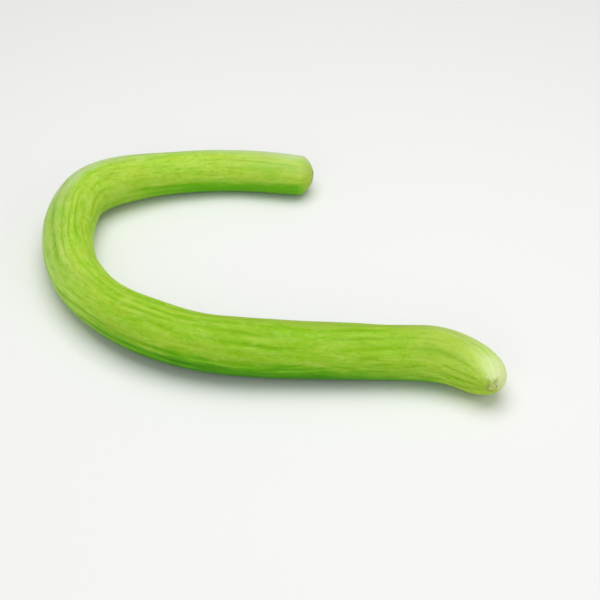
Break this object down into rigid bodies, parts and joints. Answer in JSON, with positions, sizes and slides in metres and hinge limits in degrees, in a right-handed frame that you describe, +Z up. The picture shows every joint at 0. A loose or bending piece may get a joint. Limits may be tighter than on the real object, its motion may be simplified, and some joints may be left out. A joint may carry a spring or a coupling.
{
  "type": "snake cucumber",
  "caption": "Long slender ridged fruit grown into a narrow U, with a blunt stem end and a hooked, rounded blossom end, lying on its side.",
  "frame": {"origin": "under the middle of the fruit's box, on the surface that it lies on", "axes": "+Z up from the resting surface; +X along the box's longest side, from the bend towards the two ends; +Y from the blossom run towards the stem run"},
  "size_m": [0.3876, 0.319, 0.0488],
  "materials": {
    "fruit_skin": "satin",
    "scar_tissue": "matte"
  },
  "bodies": {
    "root": {"fruit": "fruit_skin"}
  },
  "joints": []
}
